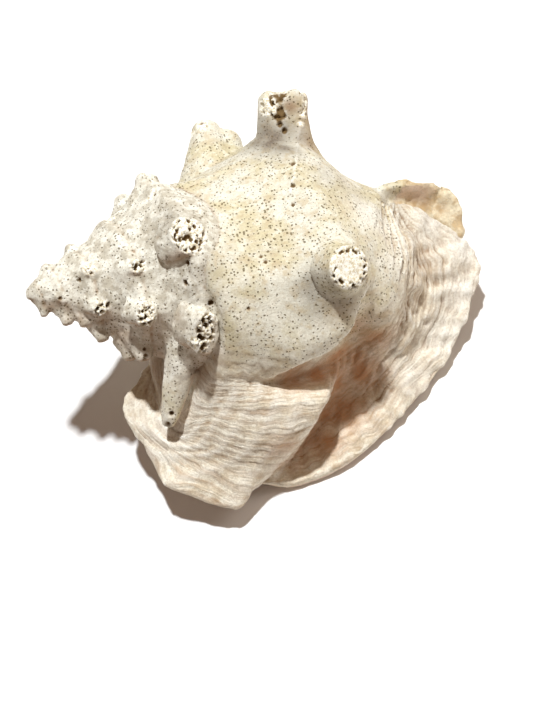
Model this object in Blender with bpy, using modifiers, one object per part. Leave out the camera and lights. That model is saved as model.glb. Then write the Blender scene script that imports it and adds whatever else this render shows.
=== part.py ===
"""A beach-worn conch shell: knobbed spire, body whorl with broken spines, flared outer lip, short canal."""
import math

import bmesh
import bpy
import numpy as np
from mathutils import Matrix, Vector

# All shape values below are millimetres in the shell's own growth frame:
# first number along the coiling axis from the apex, second and third across it.
MM = 0.001
FIRST_TURN = -6.15
CORE_END_TURN = -0.2
WALL_START_TURN = -0.42
DORSAL_ANGLE = 95.0
STEPS_PER_TURN = 56

# Shoulder of the whorls: turn, distance along the axis, radius.
SHOULDER = (
    (-6.2, -1.5, 2.5), (-5.5, 0.5, 5.0), (-5.0, 4.0, 7.0), (-4.5, 8.5, 9.0), (-4.0, 13.0, 11.2),
    (-3.5, 19.0, 14.5), (-3.0, 26.0, 19.0),
    (-2.5, 34.0, 24.5), (-2.0, 44.0, 32.0), (-1.5, 56.0, 40.0), (-1.25, 61.5, 44.5), (-1.0, 67.0, 49.5),
    (-0.75, 76.0, 53.5), (-0.5, 94.0, 57.0), (-0.25, 119.0, 59.0), (0.0, 130.0, 66.5),
)

# Height of a whorl below its shoulder: share of the height, share of the shoulder radius.
OUTER_SIDE = (
    (0.0, 1.0), (0.08, 0.985), (0.18, 0.945), (0.29, 0.875), (0.41, 0.755),
    (0.53, 0.62), (0.65, 0.49), (0.77, 0.38), (0.89, 0.28), (1.0, 0.20),
)
INNER_SIDE = (
    (0.0, 1.0), (0.08, 0.98), (0.18, 0.93), (0.29, 0.84), (0.41, 0.73),
    (0.53, 0.61), (0.65, 0.49), (0.77, 0.38), (0.89, 0.28), (1.0, 0.20),
)
RAMP_STEPS = 5
ANTERIOR_END = 180.0

# Growth edges of the flaring lip, one after the other, each from the suture to the canal.
LIP_STAGES = (
    ((73, -12, 53), (86, -11, 56), (99, -11, 60), (112, -11, 63), (123, -11, 66), (133, -10, 68),
     (142, -6, 64), (149, -1, 58), (152, 4, 55), (156, 9, 51), (160, 13, 46), (163, 18, 40),
     (168, 22, 33), (172, 25, 26), (184, 21, 7)),
    ((77, -24, 50), (87, -27, 53), (100, -31, 57), (113, -33, 59), (125, -34, 61), (137, -30, 60),
     (146, -25, 56), (153, -20, 55), (157, -14, 55), (161, -6, 53), (163, 2, 48), (167, 10, 40),
     (170, 17, 32), (173, 22, 26), (184, 21, 7)),
    ((77, -36, 43), (87, -41, 46), (99, -45, 51), (110, -46, 54), (121, -44, 56), (131, -40, 54),
     (143, -37, 35), (154, -32, 49), (162, -24, 51), (165, -14, 51), (168, -5, 48), (170, 4, 42),
     (173, 13, 32), (175, 20, 26), (184, 21, 7)),
    ((72, -50, 30), (83, -53, 36), (96, -56, 36), (109, -57, 31), (122, -56, 25), (135, -53, 22),
     (148, -47, 28), (160, -40, 40), (168, -30, 45), (171, -19, 46), (174, -8, 44), (175, 1, 40),
     (176, 11, 32), (177, 20, 26), (184, 21, 7)),
    ((70, -57, 20), (81, -60, 33), (93, -61, 40), (105, -63, 43), (116, -65, 45), (126, -66, 43),
     (138, -63, 19), (156, -54, 29), (170, -40, 37), (175, -27, 40), (180, -14, 40), (180, -2, 38),
     (179, 9, 31), (178, 19, 26), (184, 21, 7)),
    ((61, -71, 3), (72, -74, 21), (83, -78, 31), (95, -81, 37), (105, -83, 38), (114, -83, 36),
     (127, -81, 14), (148, -69, 19), (166, -54, 29), (178, -39, 32), (184, -23, 33), (185, -7, 33),
     (183, 7, 30), (180, 19, 25), (185, 21, 7)),
    ((56, -60, -6), (63, -80, 8), (72, -87, 18), (83, -92, 24), (94, -95, 26), (104, -97, 20),
     (118, -94, 11), (140, -83, 20), (165, -65, 26), (184, -48, 28), (195, -29, 29), (197, -10, 30),
     (192, 5, 29), (183, 18, 25), (185, 21, 7)),
    ((57, -39, -20), (39, -59, -14), (47, -81, -4), (54, -99, 8), (80, -114, 20), (92, -106, 14),
     (113, -106, 20), (137, -99, 28), (164, -83, 30), (191, -62, 29), (208, -38, 30), (221, -11, 27),
     (209, 4, 27), (193, 18, 24), (186, 21, 7)),
)
STAGE_STEPS = 7
BLEND_ROWS = 30
BLEND_TURN = 0.2
INWARD_SHARE = 0.72
INWARD_DEEPER = 0.16
INWARD_STEP = 2.0
GROWTH_SMOOTHING = 6
ROW_STEPS = 4

WALL_THICKNESS = 5.0
LIP_THICKNESS = 7.0
LOWER_RIM = 4.2
RIM_STAGES = 3.5

# Knobs and spines: tip, point towards the axis, tip radii along and round, root radii, flare, tip roundness,
# rise and half width of the swelling that they stand on, slant of the tip along the axis.
SPINES = (
    ((105, 78, -28), (102, 44, -17), (7.2, 7.5), (19.0, 17.0), 1.15, 3.5, 3.0, 20.0, -0.08),
    ((115, 72, -26), (112, 44, -16), (7.5, 7.2), (17.0, 16.0), 1.6, 3.5, 2.0, 14.0, -0.3),
    ((135, 84, 12), (132, 45, 8), (12.2, 10.5), (22.0, 18.0), 2.6, 5.5, 4.0, 20.0, 0.07),
    ((130, -11, 79), (129, -10, 66), (10.0, 10.0), (14.0, 13.0), 1.6, 2.0, 5.0, 17.0, 0.0),
    ((95, 8, -76), (95, 5, -48), (9.0, 9.0), (19.0, 19.0), 2.2, 3.0, 2.0, 16.0, 0.0),
    ((68, 14, 52), (64, 11, 38), (8.8, 9.8), (11.5, 12.0), 1.6, 1.5, 2.5, 11.0, 0.0),
    ((70, -31, 50), (65, -24, 36), (6.5, 10.5), (9.0, 12.5), 1.5, 1.5, 3.0, 11.0, 0.0),
    ((47, -19, 37), (44, -15, 26), (5.2, 5.2), (7.5, 7.5), 1.6, 1.5, 4.0, 9.5, 0.0),
    ((46, 4, 36), (43, 3, 25), (4.0, 4.0), (7.0, 7.0), 1.6, 1.5, 3.0, 9.5, 0.0),
    ((27, 6, 21), (25, 4, 13), (3.0, 3.0), (5.5, 5.5), 1.6, 1.5, 2.0, 7.0, 0.0),
    ((29, -13, 22), (27, -9, 14), (3.8, 3.8), (6.0, 6.0), 1.6, 1.5, 3.0, 7.0, 0.0),
    ((13, -5, 12), (12, -3, 7), (2.4, 2.4), (4.0, 4.0), 1.6, 1.2, 1.5, 5.0, 0.0),
    ((55, -71, 9), (67, -30, 24), (3.2, 3.2), (8.8, 8.0), 0.62, 1.8, 3.0, 10.0, 0.0),
    ((48, -38, 15), (45, -24, 12), (3.8, 3.6), (7.5, 8.0), 1.2, 1.5, 3.5, 9.0, 0.0),
    ((43, -37, 6), (42, -26, 4), (3.4, 3.5), (7.0, 8.0), 1.3, 1.5, 2.5, 9.0, 0.0),
    ((31, -27, 9), (29, -17, 6), (3.4, 3.2), (6.0, 6.0), 1.6, 1.5, 2.5, 7.0, 0.0),
    ((23, -19, 11), (23, -12, 7), (2.8, 2.6), (5.0, 5.0), 1.6, 1.5, 1.5, 6.0, 0.0),
    ((16, -17, 6), (15, -9, 3), (3.0, 2.8), (5.0, 5.0), 1.6, 1.5, 1.5, 6.0, 0.0),
    ((6, -12, 1), (6, -6, 1), (2.2, 2.2), (4.0, 4.0), 1.6, 1.2, 1.0, 5.0, 0.0),
    ((64, 50, 4), (61, 34, 3), (5.5, 6.0), (11.0, 11.0), 1.7, 2.5, 2.5, 11.0, 0.0),
    ((55, 43, -14), (53, 29, -10), (5.0, 5.5), (10.0, 11.0), 1.7, 2.5, 2.5, 10.0, 0.0),
    ((41, 30, 1), (40, 17, 0), (3.6, 3.6), (7.0, 7.0), 1.7, 2.0, 2.5, 7.0, 0.0),
    ((24, 21, -2), (24, 10, -1), (3.4, 3.4), (6.5, 6.5), 1.7, 2.0, 2.0, 6.5, 0.0),
    ((11, 13, -2), (10, 5, -1), (3.0, 3.0), (5.0, 5.0), 1.7, 1.5, 1.0, 5.0, 0.0),
)
HIDDEN_KNOB_TURNS = (-1.5, -1.64, -2.5, -2.64, -3.5, -3.64)
HIDDEN_KNOB_RISE = 0.10
HIDDEN_KNOB_WIDTH = 0.22
SPINE_SIDES = 24

# Inner pillar of the shell: three coordinates and radius of each station.
COLUMELLA = (
    (70, 0, 0, 20), (110, 2, 0, 16), (140, 7, 1, 13), (165, 14, 3, 11), (185, 17, 5, 9), (198, 16, 5, 6),
)
CANAL_CENTRE = (193.0, 12.0)
CANAL_RADII = (28.0, 21.0)
CANAL_FLOOR = 4.0
CANAL_RISE = 9.0
CANAL_THICKNESS = 4.5

# Upward direction of the shell as it lies on its lip and its lowest spine.
UP = (-0.38, 0.55, 0.744)
WORN_FLAT = 1.2
SETTLED_FLAT = 0.1

VOXEL = 1.2
SMOOTH_STEPS = 6
FACE_GOAL = 9600

SHELL_RGB = (0.72, 0.64, 0.53)


def smooth_table(rows, at):
    """Value of a table's columns at a position, by a monotone cubic through its rows."""
    keys = np.array([row[0] for row in rows], dtype=float)
    values = np.array([row[1:] for row in rows], dtype=float)
    slopes = np.diff(values, axis=0) / np.diff(keys)[:, None]
    tangents = np.zeros_like(values)
    tangents[1:-1] = np.where(slopes[:-1] * slopes[1:] > 0, 2 * slopes[:-1] * slopes[1:]
                              / np.where(slopes[:-1] + slopes[1:] == 0, 1, slopes[:-1] + slopes[1:]), 0)
    tangents[0], tangents[-1] = slopes[0], slopes[-1]
    at = min(max(at, keys[0]), keys[-1])
    i = min(int(np.searchsorted(keys, at, side="right")) - 1, len(keys) - 2)
    h = keys[i + 1] - keys[i]
    u = (at - keys[i]) / h
    return ((1 + 2 * u) * (1 - u) ** 2 * values[i] + u * (1 - u) ** 2 * h * tangents[i]
            + u * u * (3 - 2 * u) * values[i + 1] + u * u * (u - 1) * h * tangents[i + 1])


def ease(value, low, high):
    u = np.clip((value - low) / (high - low), 0.0, 1.0)
    return u * u * (3 - 2 * u)


def centre_line(along):
    """The axis bends towards the canal at the front end."""
    return 24.0 * ease(along, 112.0, 205.0), 8.0 * ease(along, 125.0, 210.0)


def whorl_section(turn):
    """Half section of a whorl from its suture over the shoulder to the front end."""
    along, radius = smooth_table(SHOULDER, turn)
    back_along, back_radius = smooth_table(SHOULDER, turn - 1.0)
    suture = (back_along + 0.05 * (along - back_along), back_radius * 0.93)
    late = ease(turn, -1.9, -1.0)
    reach = ANTERIOR_END if turn > -1.0 else along + (ANTERIOR_END - along) * late + 1.4 * radius * (1 - late)
    mix = ease(turn, -0.62, -0.3)
    angle = math.radians(DORSAL_ANGLE + 360.0 * turn)
    points = []
    for j in range(RAMP_STEPS):
        u = j / RAMP_STEPS
        s = suture[0] + (along - suture[0]) * u
        r = suture[1] + (radius - suture[1]) * (u ** 0.85) - 0.05 * radius * math.sin(math.pi * u)
        points.append((s, r))
    for outer, inner in zip(OUTER_SIDE, INNER_SIDE):
        share = inner[1] + (outer[1] - inner[1]) * mix
        points.append((along + (reach - along) * outer[0], radius * share))
    out = []
    for s, r in points:
        dy, dz = centre_line(s)
        out.append((s, r * math.cos(angle) + dy, r * math.sin(angle) + dz))
    return np.array(out)


def swell(places):
    """Pushes the surface out under each knob so that the knob grows from a rounded swelling."""
    moved = places.copy()
    for values in SPINES:
        tip, root = np.array(values[0], dtype=float), np.array(values[1], dtype=float)
        rise, width = values[6:8]
        direction = (tip - root) / np.linalg.norm(tip - root)
        offset = places - root
        along = offset @ direction
        aside = np.maximum((offset ** 2).sum(-1) - along ** 2, 0.0)
        push = rise * np.exp(-aside / width ** 2) * ease(along, -10.0, 5.0)
        moved += direction * push[..., None]
    return moved


def refine(rows, steps):
    """Catmull-Rom points between the given rows."""
    rows = np.asarray(rows, dtype=float)
    out = []
    last = len(rows) - 1
    for i in range(last):
        p0 = rows[max(i - 1, 0)]
        p1, p2 = rows[i], rows[i + 1]
        p3 = rows[min(i + 2, last)]
        for k in range(steps):
            u = k / steps
            out.append(0.5 * (2 * p1 + (p2 - p0) * u + (2 * p0 - 5 * p1 + 4 * p2 - p3) * u * u
                              + (3 * p1 - p0 - 3 * p2 + p3) * u ** 3))
    out.append(rows[last])
    return np.array(out)


def mesh_object(name, grid, wrap=False, caps=False):
    """Quads between the rows of a grid of points."""
    rows, cols = len(grid), len(grid[0])
    verts = [tuple(p) for row in grid for p in row]
    faces = []
    for i in range(rows - 1):
        for j in range(cols if wrap else cols - 1):
            k = (j + 1) % cols
            faces.append((i * cols + j, i * cols + k, (i + 1) * cols + k, (i + 1) * cols + j))
    if caps:
        faces.append(tuple(range(cols - 1, -1, -1)))
        faces.append(tuple((rows - 1) * cols + j for j in range(cols)))
    mesh = bpy.data.meshes.new(name)
    mesh.from_pydata(verts, [], faces)
    mesh.update()
    item = bpy.data.objects.new(name, mesh)
    bpy.context.scene.collection.objects.link(item)
    return item


def whorl_core():
    """Solid sweep of the whorl section round the axis."""
    count = int((CORE_END_TURN - FIRST_TURN) * STEPS_PER_TURN)
    turns = [FIRST_TURN + (CORE_END_TURN - FIRST_TURN) * i / count for i in range(count + 1)]
    sections = swell(np.array([refine(whorl_section(turn), 3) for turn in turns]))
    grid = []
    for section in sections:
        first, final = section[0], section[-1]
        low, high = centre_line(first[0]), centre_line(final[0])
        on_axis = (first[0], low[0], low[1]), (final[0], high[0], high[1])
        grid.append([on_axis[0]] + [tuple(p) for p in section] + [on_axis[1]])
    return mesh_object("core", grid, wrap=True, caps=True)


def wall_grid():
    """Outer face of the last half turn and the flaring lip."""
    rows = []
    stage = np.array(LIP_STAGES[0], dtype=float)
    for i in range(BLEND_ROWS):
        turn = WALL_START_TURN * (1 - i / BLEND_ROWS)
        weight = ease(turn, -BLEND_TURN, 0.0)
        rows.append(whorl_section(turn) * (1 - weight) + stage * weight)
    grid = np.vstack([np.array(rows), refine(LIP_STAGES, STAGE_STEPS)])
    for step in range(GROWTH_SMOOTHING):
        grid[1:-1] = 0.25 * grid[:-2] + 0.5 * grid[1:-1] + 0.25 * grid[2:]
    out = []
    for index, row in enumerate(grid):
        share = INWARD_SHARE - INWARD_DEEPER * ease((index - BLEND_ROWS) / STAGE_STEPS, 1.5, 4.0)
        inward = np.array([row[0][0] - INWARD_STEP, row[0][1] * share, row[0][2] * share])
        out.append(refine([inward] + list(row), ROW_STEPS))
    return swell(np.array(out))


def wall():
    grid = wall_grid()
    item = mesh_object("wall", grid)
    group = item.vertex_groups.new(name="thick")
    rows, cols = len(grid), len(grid[0])
    for i in range(rows):
        near_rim = ease(i, rows - RIM_STAGES * STAGE_STEPS, rows - 1)
        for j in range(cols):
            rim = LOWER_RIM + (LIP_THICKNESS - LOWER_RIM) * ease(j / ROW_STEPS - 1, 8.0, 10.0)
            amount = (WALL_THICKNESS + (rim - WALL_THICKNESS) * near_rim) / LIP_THICKNESS
            group.add([i * cols + j], float(amount), "REPLACE")
    solid = item.modifiers.new("solid", "SOLIDIFY")
    solid.thickness = LIP_THICKNESS
    solid.offset = 1.0
    solid.vertex_group = "thick"
    return item


def spine(name, tip, root, tip_radii, root_radii, flare, rounding, slant=0.0):
    """A knob lofted from a wide oval root to its blunt, broken tip."""
    tip, root = Vector(tip), Vector(root)
    axis = (tip - root).normalized()
    length = (tip - root).length
    across = (Vector((1.0, 0.0, 0.0)) - axis * axis.x).normalized()
    around = axis.cross(across)
    rings = [(root_radii[0] * 0.02, root_radii[1] * 0.02, 0.0)]
    for k in range(10):
        u = k / 9
        share = (1 - u) ** flare
        rings.append((tip_radii[0] + (root_radii[0] - tip_radii[0]) * share,
                      tip_radii[1] + (root_radii[1] - tip_radii[1]) * share, (length - rounding) * u))
    for k in range(1, 4):
        a = math.radians(28 * k)
        shrink = rounding * (1 - math.cos(a))
        rings.append((max(tip_radii[0] - shrink, 0.2), max(tip_radii[1] - shrink, 0.2),
                      length - rounding + rounding * math.sin(a)))
    rings.append((0.05, 0.05, length))
    grid = []
    for wide, deep, height in rings:
        ring = []
        for k in range(SPINE_SIDES):
            a = 2 * math.pi * k / SPINE_SIDES
            lift = slant * wide * math.cos(a) * (height / length) ** 2
            aside = across * (wide * math.cos(a)) + around * (deep * math.sin(a))
            ring.append(tuple(root + axis * (height + lift) + aside))
        grid.append(ring)
    return mesh_object(name, grid, wrap=True, caps=True)


def hidden_knobs():
    """The knobs of the spire's far side, placed by their turn."""
    out = []
    for k, turn in enumerate(HIDDEN_KNOB_TURNS):
        along, radius = smooth_table(SHOULDER, turn)
        angle = math.radians(DORSAL_ANGLE + 360.0 * turn)
        top, low = radius * (1 + HIDDEN_KNOB_RISE), radius * 0.7
        width = radius * HIDDEN_KNOB_WIDTH
        tip = (along, top * math.cos(angle), top * math.sin(angle))
        root = (along - 1.0, low * math.cos(angle), low * math.sin(angle))
        tip_radii, root_radii = (width * 0.4, width * 0.4), (width * 1.1, width * 1.1)
        out.append(spine("hidden knob %d" % k, tip, root, tip_radii, root_radii, 1.8, width * 0.3))
    return out


def tube(name, stations, sides=20):
    """Round bar through stations given as three coordinates and a radius."""
    dense = refine([np.array(station, dtype=float) for station in stations], 4)
    grid = []
    for i, station in enumerate(dense):
        back = dense[max(i - 1, 0)][:3]
        ahead = dense[min(i + 1, len(dense) - 1)][:3]
        direction = Vector(ahead - back).normalized()
        across = direction.cross(Vector((0, 0, 1))).normalized()
        rise = across.cross(direction)
        centre = Vector(station[:3])
        ring = []
        for k in range(sides):
            a = 2 * math.pi * k / sides
            ring.append(tuple(centre + (across * math.cos(a) + rise * math.sin(a)) * float(station[3])))
        grid.append(ring)
    return mesh_object(name, grid, wrap=True, caps=True)


def canal_flap():
    """Shallow dish at the front end, hollow side towards the back of the shell."""
    grid = []
    rings, sides = 9, 40
    for i in range(rings):
        share = 0.02 + 0.98 * i / (rings - 1)
        row = []
        for k in range(sides):
            a = 2 * math.pi * k / sides
            c, s = math.cos(a), math.sin(a)
            power = (abs(c) ** 2.6 + abs(s) ** 2.6) ** (-1 / 2.6)
            row.append((CANAL_CENTRE[0] + CANAL_RADII[0] * share * power * c,
                        CANAL_CENTRE[1] + CANAL_RADII[1] * share * power * s,
                        CANAL_FLOOR + CANAL_RISE * share ** 2.2))
        grid.append(row)
    item = mesh_object("canal flap", grid, wrap=True)
    mesh = bmesh.new()
    mesh.from_mesh(item.data)
    centre_edges = [edge for edge in mesh.edges if edge.is_boundary and edge.calc_length() < 2.0]
    bmesh.ops.holes_fill(mesh, edges=centre_edges, sides=0)
    bmesh.ops.recalc_face_normals(mesh, faces=mesh.faces)
    mesh.to_mesh(item.data)
    mesh.free()
    solid = item.modifiers.new("solid", "SOLIDIFY")
    solid.thickness = CANAL_THICKNESS
    solid.offset = 0.0
    return item


def evaluated_copy(item):
    graph = bpy.context.evaluated_depsgraph_get()
    return bpy.data.meshes.new_from_object(item.evaluated_get(graph))


def clear_scene():
    for item in list(bpy.data.objects):
        bpy.data.objects.remove(item, do_unlink=True)


def join_all(items, name):
    whole = bmesh.new()
    for item in items:
        data = evaluated_copy(item)
        whole.from_mesh(data)
        bpy.data.objects.remove(item, do_unlink=True)
    data = bpy.data.meshes.new(name)
    whole.to_mesh(data)
    whole.free()
    joined = bpy.data.objects.new(name, data)
    bpy.context.scene.collection.objects.link(joined)
    return joined


def growth_solid(voxel):
    items = [whorl_core(), wall(), tube("columella", COLUMELLA), canal_flap()]
    for k, values in enumerate(SPINES):
        items.append(spine("spine %d" % k, *values[:6], slant=values[8]))
    items += hidden_knobs()
    joined = join_all(items, "shell")
    remesh = joined.modifiers.new("remesh", "REMESH")
    remesh.mode = "VOXEL"
    remesh.voxel_size = voxel
    remesh.adaptivity = 0.0
    smooth = joined.modifiers.new("smooth", "SMOOTH")
    smooth.factor = 0.5
    smooth.iterations = SMOOTH_STEPS
    return joined


def lying_matrix():
    """Turns the growth frame so that the shell lies on its lip with the spire to the left."""
    up = Vector(UP).normalized()
    along = Vector((1.0, 0.0, 0.0))
    right = (along - up * along.dot(up)).normalized()
    back = up.cross(right)
    return Matrix((right, back, up)).to_4x4()


def set_down(data, flat):
    """Moves the mesh onto the ground, centred, with its lowest spots worn flat."""
    points = np.empty(len(data.vertices) * 3)
    data.vertices.foreach_get("co", points)
    points = points.reshape(-1, 3)
    ground = points[:, 2].min() + flat
    points[:, 2] = np.maximum(points[:, 2], ground)
    middle = 0.5 * (points.min(axis=0) + points.max(axis=0))
    points -= np.array([middle[0], middle[1], ground])
    data.vertices.foreach_set("co", points.ravel())
    data.update()


def finish_shell():
    clear_scene()
    joined = growth_solid(VOXEL)
    data = evaluated_copy(joined)
    bpy.data.objects.remove(joined, do_unlink=True)
    data.transform(lying_matrix())
    set_down(data, WORN_FLAT)
    shell = bpy.data.objects.new("shell", data)
    bpy.context.scene.collection.objects.link(shell)
    faces = sum(len(p.vertices) - 2 for p in data.polygons)
    reduce = shell.modifiers.new("reduce", "DECIMATE")
    reduce.ratio = min(1.0, FACE_GOAL / faces)
    reduce.use_collapse_triangulate = True
    reduced = evaluated_copy(shell)
    shell.modifiers.clear()
    shell.data = reduced
    set_down(reduced, SETTLED_FLAT)
    reduced.name = "shell"
    reduced.transform(Matrix.Scale(MM, 4))
    bpy.context.scene.collection.objects.unlink(shell)
    collection = bpy.data.collections.new("conch shell")
    bpy.context.scene.collection.children.link(collection)
    collection.objects.link(shell)
    material = bpy.data.materials.new("weathered shell")
    material.use_nodes = True
    node = material.node_tree.nodes["Principled BSDF"]
    node.inputs["Base Color"].default_value = (*SHELL_RGB, 1.0)
    node.inputs["Roughness"].default_value = 0.8
    reduced.materials.clear()
    reduced.materials.append(material)
    bpy.data.meshes.remove(data)


finish_shell()
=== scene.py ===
import math
import time

import bmesh
import bpy
import numpy as np
from mathutils import Matrix, Vector
from mathutils.bvhtree import BVHTree
from mathutils.kdtree import KDTree


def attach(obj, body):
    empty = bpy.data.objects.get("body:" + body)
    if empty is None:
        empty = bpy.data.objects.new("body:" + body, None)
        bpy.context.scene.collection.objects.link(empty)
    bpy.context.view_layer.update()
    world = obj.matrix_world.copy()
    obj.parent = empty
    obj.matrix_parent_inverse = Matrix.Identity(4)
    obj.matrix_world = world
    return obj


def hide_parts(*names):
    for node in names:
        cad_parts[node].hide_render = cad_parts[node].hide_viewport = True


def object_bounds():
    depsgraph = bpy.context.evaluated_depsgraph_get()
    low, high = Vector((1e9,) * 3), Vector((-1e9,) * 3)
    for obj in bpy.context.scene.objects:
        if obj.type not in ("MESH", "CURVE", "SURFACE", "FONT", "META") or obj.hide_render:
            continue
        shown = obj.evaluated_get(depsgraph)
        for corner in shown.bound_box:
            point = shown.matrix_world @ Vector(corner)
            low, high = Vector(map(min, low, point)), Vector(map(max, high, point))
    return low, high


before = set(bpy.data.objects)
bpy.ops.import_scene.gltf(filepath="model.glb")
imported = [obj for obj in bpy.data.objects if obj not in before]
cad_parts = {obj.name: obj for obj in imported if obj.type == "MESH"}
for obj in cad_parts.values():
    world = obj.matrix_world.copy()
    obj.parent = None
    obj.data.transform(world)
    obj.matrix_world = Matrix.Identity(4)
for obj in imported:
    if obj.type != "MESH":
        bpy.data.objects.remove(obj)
cadLow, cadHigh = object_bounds()
startTime = time.time()
mm = 0.001

# The growth frame is in millimetres: first number along the coiling axis from the apex, second up and
# third towards the viewer. Growth is counted in turns up to 0 and then in stages, one for each lip row.
conch = {
    "upward": (-0.38, 0.55, 0.744),  # the way up in the growth frame, as the shell lies on its lip
    "wornFlat": 1.2,  # flat worn on the spots that it rests on
    "wallThickness": 5.0,
    "lipThickness": 7.0,  # rim of the lip by the canal
    "lowerRim": 4.2,  # rim of the lip by the spire
    "voxel": 0.7,
    "triangleLimit": 194000,
    # Zones along the growth in stages, and across it in points of a lip row
    "spireEnds": (-19.0, -15.5),
    "wingStarts": (1.6, 3.6),
    "foldStarts": (2.5, 4.0),
    "outerWingStarts": (3.0, 4.8),
    "rimStarts": (5.6, 7.6),
    "lipEdgeStarts": (7.1, 7.6),
    "foldRows": (5.0, 6.5),
    "frontRows": (8.2, 9.8),
    "canalRows": (13.0, 14.0),
    # Lumps worn or grown into the surface: size, height, seed
    "erosion": ((21, 0.6, 1), (9, 0.4, 2), (4.4, 0.26, 3), (2.1, 0.16, 4)),
    "spireGrit": ((1.7, 0.22, 23),),
    "flapLumps": ((8.0, 1.3, 24), (4.0, 0.6, 25)),
    "wingLumps": ((10.0, 2.0, 20), (5.0, 1.1, 22)),
    "rimLumps": ((9.0, 0.9, 8), (4.5, 0.6, 9)),
    "sutureDepth": 0.4,
    # Growth ridges: stages from one to the next, seed
    "broadRidges": (0.74, 10),
    "ridges": (0.27, 11),
    "fineRidges": (0.11, 12),
    "crinkleLength": 8.5,
    "pleatLength": 11.0,
    "keelHeight": 0.9,
    "keelWidth": 1.2,
    "overhangStep": 2.6,
    "overhangWidth": 8.0,
    "threeSidedHeight": 1.5,
    # Cloudy shades: size, detail, roughness
    "clouds": ((22.2, 4.0, 0.6), (6.25, 5.0, 0.65), (1.111, 6.0, 0.7)),
    "linesPerStage": 11.0,
    "lineLength": 11.1,
    # Sponge borings: distance apart, how scattered, number of the random draw, share that stays smallest;
    # as shares of the distance apart, radii, softness of the edge and radii at which they begin to show
    "pores": {"spacing": 1.515, "scatter": 0.82, "draw": 0, "smallShare": 0.1, "radii": (0.13, 0.31),
              "softness": (0.04, 0.06), "leastRadii": (0.02, 0.06)},
    "pinholes": {"spacing": 0.952, "scatter": 0.85, "draw": 1, "smallShare": 0.3, "radii": (0.0, 0.26),
                 "softness": (0.05, 0.05), "leastRadii": (0.03, 0.08)},
}

firstTurn, coreEndTurn, wallStartTurn = -6.15, -0.2, -0.42
dorsalAngle = 95.0  # degrees round the axis where the turns are counted from
stepsPerTurn = 72
stagesPerTurn = 28.0
anteriorEnd = 180.0
rampSteps, sectionSteps = 5, 3  # points up a whorl's shoulder ramp, points between two points of a section

# Shoulder of the whorls: turn, distance along the axis, radius
shoulder = (
    (-6.2, -1.5, 2.5), (-5.5, 0.5, 5.0), (-5.0, 4.0, 7.0), (-4.5, 8.5, 9.0),
    (-4.0, 13.0, 11.2), (-3.5, 19.0, 14.5), (-3.0, 26.0, 19.0), (-2.5, 34.0, 24.5),
    (-2.0, 44.0, 32.0), (-1.5, 56.0, 40.0), (-1.25, 61.5, 44.5), (-1.0, 67.0, 49.5),
    (-0.75, 76.0, 53.5), (-0.5, 94.0, 57.0), (-0.25, 119.0, 59.0), (0.0, 130.0, 66.5),
)

# A whorl's side below the shoulder: share of its height, share of the shoulder radius
outerSide = (
    (0.0, 1.0), (0.08, 0.985), (0.18, 0.945), (0.29, 0.875), (0.41, 0.755),
    (0.53, 0.62), (0.65, 0.49), (0.77, 0.38), (0.89, 0.28), (1.0, 0.20),
)
innerSide = (
    (0.0, 1.0), (0.08, 0.98), (0.18, 0.93), (0.29, 0.84), (0.41, 0.73),
    (0.53, 0.61), (0.65, 0.49), (0.77, 0.38), (0.89, 0.28), (1.0, 0.20),
)

# Growth edges of the flaring lip, each from the suture to the canal
lipStages = (
    ((73, -12, 53), (86, -11, 56), (99, -11, 60), (112, -11, 63), (123, -11, 66), (133, -10, 68),
     (142, -6, 64), (149, -1, 58), (152, 4, 55), (156, 9, 51), (160, 13, 46), (163, 18, 40),
     (168, 22, 33), (172, 25, 26), (184, 21, 7)),
    ((77, -24, 50), (87, -27, 53), (100, -31, 57), (113, -33, 59), (125, -34, 61), (137, -30, 60),
     (146, -25, 56), (153, -20, 55), (157, -14, 55), (161, -6, 53), (163, 2, 48), (167, 10, 40),
     (170, 17, 32), (173, 22, 26), (184, 21, 7)),
    ((77, -36, 43), (87, -41, 46), (99, -45, 51), (110, -46, 54), (121, -44, 56), (131, -40, 54),
     (143, -37, 35), (154, -32, 49), (162, -24, 51), (165, -14, 51), (168, -5, 48), (170, 4, 42),
     (173, 13, 32), (175, 20, 26), (184, 21, 7)),
    ((72, -50, 30), (83, -53, 36), (96, -56, 36), (109, -57, 31), (122, -56, 25), (135, -53, 22),
     (148, -47, 28), (160, -40, 40), (168, -30, 45), (171, -19, 46), (174, -8, 44), (175, 1, 40),
     (176, 11, 32), (177, 20, 26), (184, 21, 7)),
    ((70, -57, 20), (81, -60, 33), (93, -61, 40), (105, -63, 43), (116, -65, 45), (126, -66, 43),
     (138, -63, 19), (156, -54, 29), (170, -40, 37), (175, -27, 40), (180, -14, 40), (180, -2, 38),
     (179, 9, 31), (178, 19, 26), (184, 21, 7)),
    ((61, -71, 3), (72, -74, 21), (83, -78, 31), (95, -81, 37), (105, -83, 38), (114, -83, 36),
     (127, -81, 14), (148, -69, 19), (166, -54, 29), (178, -39, 32), (184, -23, 33), (185, -7, 33),
     (183, 7, 30), (180, 19, 25), (185, 21, 7)),
    ((56, -60, -6), (63, -80, 8), (72, -87, 18), (83, -92, 24), (94, -95, 26), (104, -97, 20),
     (118, -94, 11), (140, -83, 20), (165, -65, 26), (184, -48, 28), (195, -29, 29), (197, -10, 30),
     (192, 5, 29), (183, 18, 25), (185, 21, 7)),
    ((57, -39, -20), (39, -59, -14), (47, -81, -4), (54, -99, 8), (80, -114, 20), (92, -106, 14),
     (113, -106, 20), (137, -99, 28), (164, -83, 30), (191, -62, 29), (208, -38, 30), (221, -11, 27),
     (209, 4, 27), (193, 18, 24), (186, 21, 7)),
)
stageSteps, rowSteps, growthSmoothing = 7, 4, 6
lateStage = 5  # the row on which places across the lip are measured

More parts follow.
